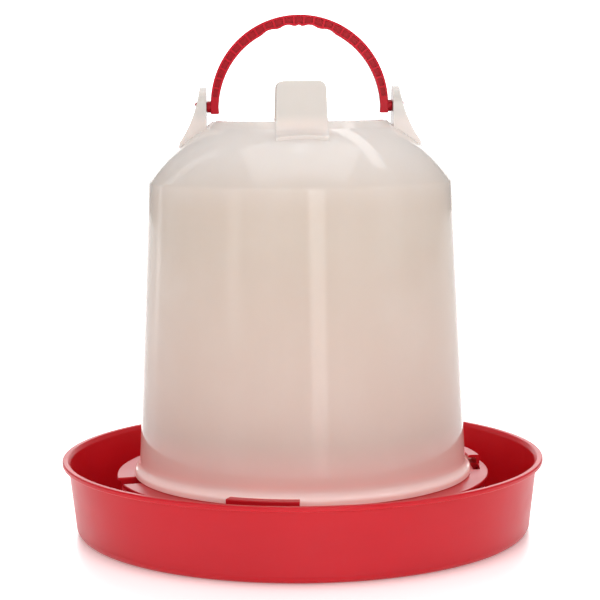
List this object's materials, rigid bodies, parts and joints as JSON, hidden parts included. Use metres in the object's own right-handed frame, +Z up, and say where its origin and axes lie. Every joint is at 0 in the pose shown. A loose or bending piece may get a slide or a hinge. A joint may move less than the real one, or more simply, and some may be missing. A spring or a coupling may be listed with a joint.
{
  "type": "poultry drinker",
  "caption": "Domed water reservoir that twist-locks onto a round drinking tray, with a bail handle that folds down between filling feet.",
  "frame": {"origin": "centre of the tray's base on the floor", "axes": "+Z up along the reservoir's axis, X along the handle's pivot axis, -Y towards the front filling foot"},
  "size_m": [0.36, 0.36, 0.3822],
  "materials": {
    "red_plastic": "smooth moulded gloss",
    "natural_plastic": "milky natural polyethylene, smooth moulded gloss",
    "handle_plastic": "smooth moulded gloss"
  },
  "bodies": {
    "tray": {"tray": "red_plastic"},
    "reservoir": {"reservoir": "natural_plastic"},
    "bail": {"bail_handle": "handle_plastic"}
  },
  "joints": [
    {"name": "reservoir_twist", "type": "hinge", "parent": "tray", "child": "reservoir", "pos_m": [0, 0, 0.0425], "axis": [0, 0, 1], "range_deg": [-29, 0]},
    {"name": "bail_swing", "type": "hinge", "parent": "reservoir", "child": "bail", "pos_m": [0, 0, 0.3154], "axis": [1, 0, 0], "range_deg": [-93, 93]}
  ]
}
